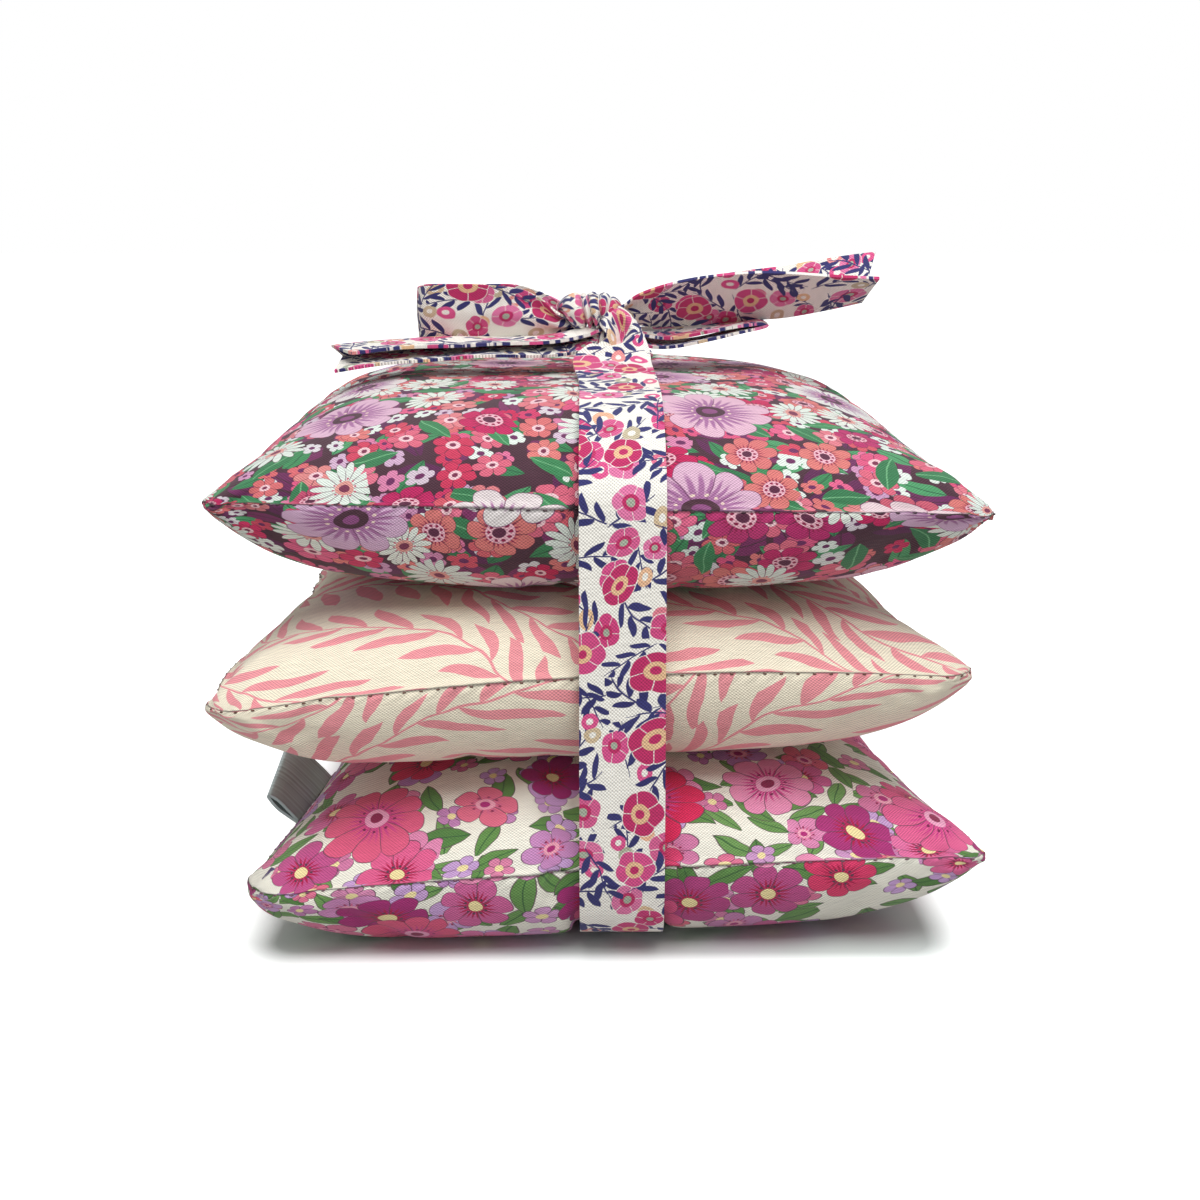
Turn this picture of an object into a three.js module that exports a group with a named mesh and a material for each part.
// A gift stack of three square lavender sachets, tied with a folded cotton ribbon in a bow.
// Millimetres. +Z is up, +X runs to the right along the front edge, and +Y runs to the back.
// The stack stands on its own soft foot at z = 0.

import * as THREE from 'three';
import { mergeVertices } from 'three/addons/utils/BufferGeometryUtils.js';

// Driving dimensions of the sachets
const sachetSide = 120;
const sachetHeight = 29;
const clothThickness = 0.5;
const seamGap = 0.3;
const fillClearance = 0.4;
const stackClearance = 0.3;
const seamSway = 4;
const footCut = 0.5;

// Driving dimensions of the ribbon, which is folded to this width before it is tied
const ribbonWidth = 13.5;
const ribbonThickness = 0.7;
const ribbonClearance = 0.3;
const ribbonOffset = 3.2;
const channelSlope = 2.5;

// Driving dimensions of the bow
const knotWidth = 12;
const knotDepth = 11.6;
const knotHeight = 13.4;
const knotLeft = 3.6;
const knotForward = 1.2;
const leftLoopReach = 33.4;
const rightLoopReach = 30.8;
const leftTailReach = 50;
const rightTailReach = 52;

// Driving dimensions of the satin label, a strip folded in two and caught in a side seam
const labelWidth = 19;
const labelReach = 7.5;
const labelThickness = 0.4;
const labelOpening = 2.8;
const labelClearance = 0.3;
const labelRise = 1.2;

// Counts that set how finely the cloth is faceted
const sideCells = 5;
const rowCells = 13;
const bandFacets = 64;
const outlineCells = 24;
const loopCells = 20;
const tailCells = 8;
const knotFacets = 20;
const knotFolds = 5;

// Shape of every sachet: fullness towards the seam, softness of its flats, curl of its edges
const upperFullnessShare = 0.56;
const lowerFullnessShare = 0.26;
const flatteningPower = 8;
const edgePower = 2;
const earPower = 4;

// The sachets from the bottom up. The halves below and above the seam are shares of the sachet
// height. Corner rows hold x, y and height as shares: the first two of half the side, the last of
// the seam's sway. Drawn-in values are in millimetres.
const sachets = [
  {
    name: 'bottom_sachet',
    stands: true,
    lowerHalfShare: 0.6,
    upperHalfShare: 0.4,
    lowerCrownShare: 1.42,
    upperCrownShare: 1.4,
    drawnInLeft: 8.6,
    drawnInRight: 11,
    drawnInFront: 0.6,
    drawnInBack: 3,
    cornerShares: [[-0.95, -1.13, -0.5], [1.03, -1.04, 0.3], [0.96, 0.99, 0], [-0.99, 0.93, 0]],
    clothColour: 0xeeeadc,
  },
  {
    name: 'middle_sachet',
    lowerHalfShare: 0.6,
    upperHalfShare: 0.34,
    lowerCrownShare: 1.4,
    upperCrownShare: 1.46,
    drawnInLeft: 5.4,
    drawnInRight: 11.4,
    drawnInFront: 3,
    drawnInBack: 3,
    cornerShares: [[-1.01, -1.13, -1.1], [0.99, -1.0, 0.2], [0.92, 1.0, 0], [-0.99, 0.95, 0]],
    clothColour: 0xf0e3c8,
  },
  {
    name: 'top_sachet',
    lowerHalfShare: 0.55,
    upperHalfShare: 0.525,
    lowerCrownShare: 1.44,
    upperCrownShare: 1.2,
    drawnInLeft: 1,
    drawnInRight: 1.6,
    drawnInFront: 0,
    drawnInBack: 2,
    cornerShares: [[-1.03, -0.92, 0.3], [1.0, -1.03, -0.1], [0.8, 0.9, 1], [-0.93, 0.87, 1]],
    clothColour: 0x6d2c48,
  },
];

// How far back the label is caught in its seam
const labelPlaceShare = 0.33;

// How deep the wraps of the knot stand out, and how far its top leans to the left
const knotFoldShare = 0.05;
const knotLeanShare = 0.5;

// The edges and creases of the bow, from the middle of the knot. Each row is a place on one of
// them: x as a share of the piece's reach, then y and z as shares of the ribbon's width.
const leftLoopShares = {
  lowerEdge: [
    [-0.217, -0.03, -0.1], [-0.49, -0.07, -0.23], [-0.76, -0.08, -0.23], [-0.96, -0.03, -0.21],
    [-1, 0.19, -0.2], [-0.94, 0.5, -0.19], [-0.67, 0.56, -0.17], [-0.43, 0.49, -0.16], [-0.225, 0.33, -0.1],
  ],
  bulge: [
    [-0.213, -0.13, 0.02], [-0.49, -0.31, 0.14], [-0.76, -0.33, 0.19], [-0.95, -0.21, 0.19],
    [-1, 0.12, 0.17], [-0.94, 0.56, 0.19], [-0.67, 0.68, 0.19], [-0.43, 0.62, 0.17], [-0.217, 0.37, 0.07],
  ],
  upperEdge: [
    [-0.213, -0.21, 0.21], [-0.41, -0.31, 0.5], [-0.65, -0.36, 0.58], [-0.94, -0.25, 0.56],
    [-0.99, 0.1, 0.52], [-0.97, 0.43, 0.54], [-0.67, 0.58, 0.53], [-0.44, 0.53, 0.51], [-0.213, 0.22, 0.29],
  ],
};
const rightLoopShares = {
  frontEdge: [
    [0.237, -0.37, -0.2], [0.458, -0.55, -0.22], [0.65, -0.58, -0.13], [0.82, -0.5, -0.05], [1, -0.3, 0.03],
    [0.854, -0.43, 0.045], [0.607, -0.49, -0.06], [0.416, -0.44, -0.11], [0.237, -0.31, -0.09],
  ],
  backEdge: [
    [0.237, 0.34, -0.24], [0.458, 0.44, -0.24], [0.65, 0.46, -0.17], [0.82, 0.44, -0.08], [0.99, 0.385, 0.02],
    [0.857, 0.43, 0.015], [0.607, 0.44, -0.05], [0.416, 0.4, -0.08], [0.237, 0.31, -0.12],
  ],
};
const leftTailShares = {
  upperLeafEdge: [[-0.105, -0.6, -0.13], [-0.4, -0.87, -0.14], [-0.64, -0.87, -0.19], [-0.88, -0.87, -0.29]],
  upperCrease: [[-0.105, -0.23, -0.08], [-0.46, -0.24, -0.15], [-0.66, -0.24, -0.16], [-0.99, -0.25, -0.24]],
  lowerCrease: [[-0.105, -0.23, -0.17], [-0.46, -0.24, -0.25], [-0.66, -0.24, -0.3], [-0.94, -0.25, -0.4]],
  lowerLeafEdge: [
    [-0.105, -0.66, -0.32], [-0.41, -0.94, -0.33], [-0.64, -0.98, -0.385], [-0.94, -0.98, -0.51],
  ],
};
const rightTailShares = {
  frontLeafEdge: [
    [0.1, -0.22, 0.38], [0.26, -0.5, 0.62], [0.45, -0.61, 0.73], [0.69, -0.59, 0.74], [0.965, -0.5, 0.67],
  ],
  crease: [
    [0.125, 0.02, 0.05], [0.25, 0.13, 0.06], [0.46, 0.13, 0.115], [0.68, 0.13, 0.16], [0.93, 0.12, 0.32],
  ],
  backLeafEdge: [
    [0.105, 0.21, 0.24], [0.27, 0.49, 0.45], [0.41, 0.65, 0.64], [0.69, 0.71, 0.785], [1, 0.73, 0.96],
  ],
};

// Materials
const cottonRoughness = 0.92;
const ribbonColour = 0xe9c3cb;
const fillColour = 0x8a7aa6;
const satinColour = 0x6b6b6c;
const satinRoughness = 0.45;

// Shared shapes and sums
const half = (length) => length / 2;
const halfSide = half(sachetSide);
const mix = (a, b, share) => a + (b - a) * share;
const sampleShares = (cells) => Array.from({ length: cells + 1 }, (_, i) => i / cells);
const eased = (share) => half(1 - Math.cos(Math.PI * share));
const easedOut = (share) => Math.sin(half(Math.PI) * share);
const clamp01 = (value) => Math.min(1, Math.max(0, value));
const smooth = (value) => value * value * (3 - (value + value));
const arch = (share) => 1 - (share + share - 1) ** 2;

function clothMaterial(colour, roughness = cottonRoughness) {
  return new THREE.MeshStandardMaterial({ color: colour, roughness, metalness: 0, side: THREE.DoubleSide });
}

// A height that never passes its limit and meets it softly, as a cushion does on a table
function softLimit(height, limit) {
  const share = height / limit;
  return height / (1 + share ** flatteningPower) ** (1 / flatteningPower);
}

// Turns lists of triangles into one closed body whose faces point out
function closedBody(triangles) {
  const positions = new Float32Array(triangles.flat().flatMap((corner) => corner.toArray()));
  const loose = new THREE.BufferGeometry();
  loose.setAttribute('position', new THREE.BufferAttribute(positions, 3));
  const merged = mergeVertices(loose);
  const kept = [];
  const index = merged.index.array;
  for (let i = 0; i < index.length; i += 3) {
    const [a, b, c] = [index[i], index[i + 1], index[i + 2]];
    if (a !== b && b !== c && c !== a) kept.push(a, b, c);
  }
  merged.setIndex(kept);
  if (signedVolume(merged) < 0) {
    for (let i = 0; i < kept.length; i += 3) [kept[i], kept[i + 1]] = [kept[i + 1], kept[i]];
    merged.setIndex(kept);
  }
  merged.computeVertexNormals();
  return merged;
}

function signedVolume(geometry) {
  const index = geometry.index.array;
  const place = geometry.attributes.position;
  const corner = (i) => new THREE.Vector3().fromBufferAttribute(place, index[i]);
  let total = 0;
  for (let i = 0; i < index.length; i += 3) {
    total += corner(i).dot(corner(i + 1).cross(corner(i + 2)));
  }
  return total;
}

// Two triangles for each cell of a grid of points. Their shared side points to the grid's middle,
// so that no triangle lies in the rim alone. The flag turns the faces over.
function gridTriangles(rows, flipped = false) {
  const triangles = [];
  const lastRow = rows.length - 1;
  const lastColumn = rows[0].length - 1;
  for (let i = 0; i < lastRow; i += 1) {
    for (let j = 0; j < lastColumn; j += 1) {
      const [a, b, c, d] = [rows[i][j], rows[i][j + 1], rows[i + 1][j + 1], rows[i + 1][j]];
      const towards = (i < half(lastRow)) === (j < half(lastColumn));
      const pair = towards ? [[a, b, c], [a, c, d]] : [[a, b, d], [b, c, d]];
      triangles.push(...(flipped ? pair.map(([p, q, r]) => [p, r, q]) : pair));
    }
  }
  return triangles;
}

// The outer line of a grid, once round
function rimOf(rows) {
  const last = rows.length - 1;
  const end = rows[0].length - 1;
  return [
    ...rows[0],
    ...rows.slice(1).map((row) => row[end]),
    ...rows[last].slice(0, -1).reverse(),
    ...rows.slice(1, -1).map((row) => row[0]).reverse(),
  ];
}

// A shell between two grids that have the same layout
function shellBetween(outer, inner) {
  const [rimA, rimB] = [rimOf(outer), rimOf(inner)];
  const closedA = [...rimA, rimA[0]];
  const closedB = [...rimB, rimB[0]];
  return closedBody([
    ...gridTriangles(outer, true),
    ...gridTriangles(inner),
    ...gridTriangles([closedA, closedB]),
  ]);
}

// A sachet's plan: four seams drawn in between four corners
class SachetPlan {
  constructor(spec, seamHeight) {
    this.spec = spec;
    this.seamHeight = seamHeight;
    this.floor = seamHeight - sachetHeight * spec.lowerHalfShare;
    this.ceiling = seamHeight + sachetHeight * spec.upperHalfShare;
    this.corners = spec.cornerShares.map(([x, y, sway]) => (
      new THREE.Vector3(x * halfSide, y * halfSide, seamHeight + sway * seamSway)
    ));
  }

  drawn(share, depth) {
    return depth * arch(share) ** edgePower;
  }

  // The left and right seams at one share of the way back, pulled in by the inset
  sideX(back, side, inset) {
    const [frontLeft, frontRight, backRight, backLeft] = this.corners;
    const [front, rear] = side < 0 ? [frontLeft, backLeft] : [frontRight, backRight];
    const depth = side < 0 ? this.spec.drawnInLeft : this.spec.drawnInRight;
    return mix(front.x, rear.x, back) - side * (this.drawn(back, depth) + inset);
  }

  // A seam point, the share across running 0 to 1 from left to right, and back from the front
  plan(across, back, inset) {
    const [frontLeft, frontRight, backRight, backLeft] = this.corners;
    const x = mix(this.sideX(back, -1, inset), this.sideX(back, 1, inset), across);
    const front = mix(frontLeft.y, frontRight.y, across) + this.drawn(across, this.spec.drawnInFront) + inset;
    const rear = mix(backLeft.y, backRight.y, across) - this.drawn(across, this.spec.drawnInBack) - inset;
    const z = mix(mix(frontLeft.z, frontRight.z, across), mix(backLeft.z, backRight.z, across), back);
    return new THREE.Vector3(x, mix(front, rear, back), z);
  }

  // How far the skin stands off the seams' plane, from 0 at the seams to 1 at the middle; the
  // corners are pinched to flat ears
  swell(across, back, fullness) {
    const fromMiddle = Math.abs((across + across - 1) * (back + back - 1));
    const ear = 1 - fromMiddle ** earPower;
    return ear * (arch(across) * arch(back)) ** fullness;
  }

  // A point of the upper skin, with the inset taken off its plan and its height
  upper(across, back, inset = 0, lift = 0) {
    const point = this.plan(across, back, inset);
    const room = this.ceiling - point.z - inset;
    const crown = sachetHeight * this.spec.upperHalfShare * this.spec.upperCrownShare;
    const height = (crown - inset) * this.swell(across, back, upperFullnessShare);
    point.z += lift + softLimit(height, room);
    return point;
  }

  // A point of the lower skin
  lower(across, back, inset = 0, lift = 0) {
    const point = this.plan(across, back, inset);
    const { stands } = this.spec;
    const room = point.z - this.floor - inset;
    const crown = sachetHeight * this.spec.lowerHalfShare * this.spec.lowerCrownShare;
    const height = (crown - inset) * this.swell(across, back, lowerFullnessShare);
    const rounded = softLimit(height, room + (stands ? footCut : 0));
    const depth = stands ? Math.min(rounded, room - channelAt(point.x)) : rounded;
    point.z -= lift + depth;
    return point;
  }

  // The share across at which a row passes one x
  acrossAt(x, back) {
    const left = this.sideX(back, -1, 0);
    return (x - left) / (this.sideX(back, 1, 0) - left);
  }

  // Shares across one row that put grid lines along both edges of the ribbon
  acrossShares(back) {
    const marks = bandEdges().map((x) => this.acrossAt(x, back));
    const steps = sampleShares(sideCells).slice(0, -1).map((share) => 1 - easedOut(1 - share));
    const beyond = 1 - marks[marks.length - 1];
    return [
      ...steps.map((step) => marks[0] * step),
      ...marks,
      ...steps.map((step) => 1 - beyond * step).reverse(),
    ];
  }

  grid(surface) {
    return sampleShares(rowCells).map((share) => {
      const back = eased(share);
      return this.acrossShares(back).map((across) => surface(across, back));
    });
  }
}

// Depth of the channel that the ribbon presses into the foot
function channelAt(x) {
  const beyond = Math.abs(x - ribbonOffset) - half(ribbonWidth) - ribbonClearance;
  return (ribbonThickness + ribbonClearance) * (1 - smooth(clamp01(beyond / channelSlope)));
}

function bandEdges() {
  const reach = half(ribbonWidth) + ribbonClearance;
  return [-reach - channelSlope, -reach, reach, reach + channelSlope].map((x) => ribbonOffset + x);
}

// A thin sheet along a grid of points, thickened evenly to both sides
function thickSheet(rows, thickness) {
  const last = rows.length - 1;
  const normals = rows.map((row, i) => row.map((_, j) => {
    const before = rows[Math.max(0, i - 1)][j];
    const after = rows[Math.min(last, i + 1)][j];
    const along = new THREE.Vector3().subVectors(after, before);
    const left = row[Math.max(0, j - 1)];
    const right = row[Math.min(row.length - 1, j + 1)];
    return along.cross(new THREE.Vector3().subVectors(right, left)).normalize();
  }));
  const moved = (distance) => rows.map((row, i) => (
    row.map((point, j) => point.clone().addScaledVector(normals[i][j], distance))
  ));
  return shellBetween(moved(half(thickness)), moved(-half(thickness)));
}

// A sheet stretched between curves that run side by side, its edges and creases
function sheetBetweenRails(rails, cells, thickness) {
  const curves = rails.map((points) => new THREE.CatmullRomCurve3(points, false, 'centripetal'));
  const rows = sampleShares(cells).map((share) => curves.map((curve) => curve.getPoint(share)));
  return thickSheet(rows, thickness);
}

// The three sachets
const group = new THREE.Group();

function addPiece(name, geometry, material) {
  const mesh = new THREE.Mesh(geometry, material);
  mesh.name = name;
  group.add(mesh);
  return mesh;
}

function buildSachet(plan) {
  const { name, clothColour } = plan.spec;
  const cloth = clothMaterial(clothColour);
  const lift = half(seamGap);
  const upperOuter = plan.grid((across, back) => plan.upper(across, back, 0, lift));
  const upperInner = plan.grid((across, back) => plan.upper(across, back, clothThickness, lift));
  const lowerOuter = plan.grid((across, back) => plan.lower(across, back, 0, lift));
  const lowerInner = plan.grid((across, back) => plan.lower(across, back, clothThickness, lift));
  addPiece(`${name}_top_panel`, shellBetween(upperOuter, upperInner), cloth);
  addPiece(`${name}_bottom_panel`, shellBetween(lowerOuter, lowerInner), cloth.clone());

  const inset = clothThickness + fillClearance;
  const fillTop = plan.grid((across, back) => plan.upper(across, back, inset));
  const fillBottom = plan.grid((across, back) => plan.lower(across, back, inset));
  const fill = closedBody([...gridTriangles(fillTop, true), ...gridTriangles(fillBottom)]);
  addPiece(`${name}_lavender_fill`, fill, clothMaterial(fillColour));
}

// Each sachet rests on the one below it, and the seam gap lifts both of its skins
const plans = [];
let restHeight = half(seamGap);
for (const spec of sachets) {
  const plan = new SachetPlan(spec, restHeight + sachetHeight * spec.lowerHalfShare);
  plans.push(plan);
  buildSachet(plan);
  restHeight = plan.ceiling + seamGap + stackClearance;
}

// The ribbon round the stack. It follows the stack's outline in the plane x = ribbonOffset: each
// facet touches the outline's outermost point in its own direction, moved out by a clearance.
function outlinePoints() {
  const lift = half(seamGap);
  const columns = [-half(ribbonWidth), 0, half(ribbonWidth)].map((x) => ribbonOffset + x);
  return plans.flatMap((plan) => columns.flatMap((x) => (
    sampleShares(outlineCells).flatMap((share) => {
      const back = eased(share);
      const across = plan.acrossAt(x, back);
      return [plan.upper(across, back, 0, lift), plan.lower(across, back, 0, lift)];
    })
  )));
}

function ringRound(points, offset) {
  const step = (Math.PI + Math.PI) / bandFacets;
  const directions = Array.from({ length: bandFacets }, (_, k) => [Math.cos(k * step), Math.sin(k * step)]);
  const reaches = directions.map(([y, z]) => (
    offset + points.reduce((best, point) => Math.max(best, point.y * y + point.z * z), -Infinity)
  ));
  return directions.map(([y, z], k) => {
    const along = (reaches[(k + 1) % bandFacets] - reaches[k] * Math.cos(step)) / Math.sin(step);
    return new THREE.Vector3(0, reaches[k] * y - along * z, reaches[k] * z + along * y);
  });
}

function buildBand(points) {
  const inner = ringRound(points, ribbonClearance);
  const outer = ringRound(points, ribbonClearance + ribbonThickness);
  const atSide = (ring, side) => {
    const placed = ring.map((point) => point.clone().setX(ribbonOffset + side * half(ribbonWidth)));
    return [...placed, placed[0]];
  };
  const sides = [atSide(inner, -1), atSide(inner, 1), atSide(outer, 1), atSide(outer, -1), atSide(inner, -1)];
  return { geometry: closedBody(gridTriangles(sides)), top: Math.max(...outer.map((point) => point.z)) };
}

const ribbonMaterial = clothMaterial(ribbonColour);
const band = buildBand(outlinePoints());
addPiece('ribbon_band', band.geometry, ribbonMaterial);

// The bow: a knot on top of the band, and two loops and two tails that leave its sides
const knotCentre = new THREE.Vector3(
  ribbonOffset - knotLeft,
  -knotForward,
  band.top + ribbonClearance + half(knotHeight),
);

// The knot is a rounded lump whose wraps stand out as ridges
const knotRadii = new THREE.Vector3(knotWidth, knotDepth, knotHeight).multiplyScalar(half(1));

function buildKnot() {
  const rows = sampleShares(half(knotFacets)).map((along) => (
    sampleShares(knotFacets).map((share) => {
      const turn = (share % 1) * (Math.PI + Math.PI);
      const x = -Math.cos(Math.PI * along);
      const girth = along % 1 === 0 ? 0 : Math.sin(Math.PI * along);
      const wrap = girth * (1 - knotFoldShare * (1 + Math.sin(knotFolds * (turn + x))));
      const onLump = new THREE.Vector3(x, Math.cos(turn) * wrap, Math.sin(turn) * wrap).multiply(knotRadii);
      onLump.x -= onLump.z * knotLeanShare;
      return onLump.add(knotCentre);
    })
  ));
  return closedBody(gridTriangles(rows));
}

function bowRails(shares, reach) {
  return Object.values(shares).map((rail) => rail.map(([x, y, z]) => (
    new THREE.Vector3(x * reach, y * ribbonWidth, z * ribbonWidth).add(knotCentre)
  )));
}

function addBowPiece(name, shares, reach, cells) {
  const geometry = sheetBetweenRails(bowRails(shares, reach), cells, ribbonThickness);
  addPiece(name, geometry, ribbonMaterial.clone());
}

addPiece('ribbon_knot', buildKnot(), ribbonMaterial.clone());
addBowPiece('ribbon_loop_left', leftLoopShares, leftLoopReach, loopCells);
addBowPiece('ribbon_loop_right', rightLoopShares, rightLoopReach, loopCells);
addBowPiece('ribbon_tail_left', leftTailShares, leftTailReach, tailCells);
addBowPiece('ribbon_tail_right', rightTailShares, rightTailReach, tailCells);

// The satin label stands out of the bottom sachet's left seam: out, round its fold and back in
function buildLabel() {
  const rise = half(labelOpening);
  const edges = [-half(labelWidth), half(labelWidth)].map((offset) => {
    const root = plans[0].plan(0, labelPlaceShare + offset / sachetSide, 0);
    const outward = [
      [labelClearance, half(rise)],
      [labelReach - labelOpening, rise],
      [labelReach - half(rise), half(rise)],
    ];
    const inward = outward.map(([out, up]) => [out, -up]).reverse();
    const path = [...outward, [labelReach, 0], ...inward];
    return path.map(([out, up]) => (
      new THREE.Vector3(root.x - out, root.y, root.z + up + labelRise * (out / labelReach))
    ));
  });
  return sheetBetweenRails(edges, loopCells, labelThickness);
}

addPiece('label_tab', buildLabel(), clothMaterial(satinColour, satinRoughness));

// The stack is centred over the origin
group.updateMatrixWorld(true);
const bounds = new THREE.Box3().setFromObject(group);
const middle = bounds.getCenter(new THREE.Vector3());
for (const mesh of group.children) mesh.position.set(-middle.x, -middle.y, 0);

export default group;
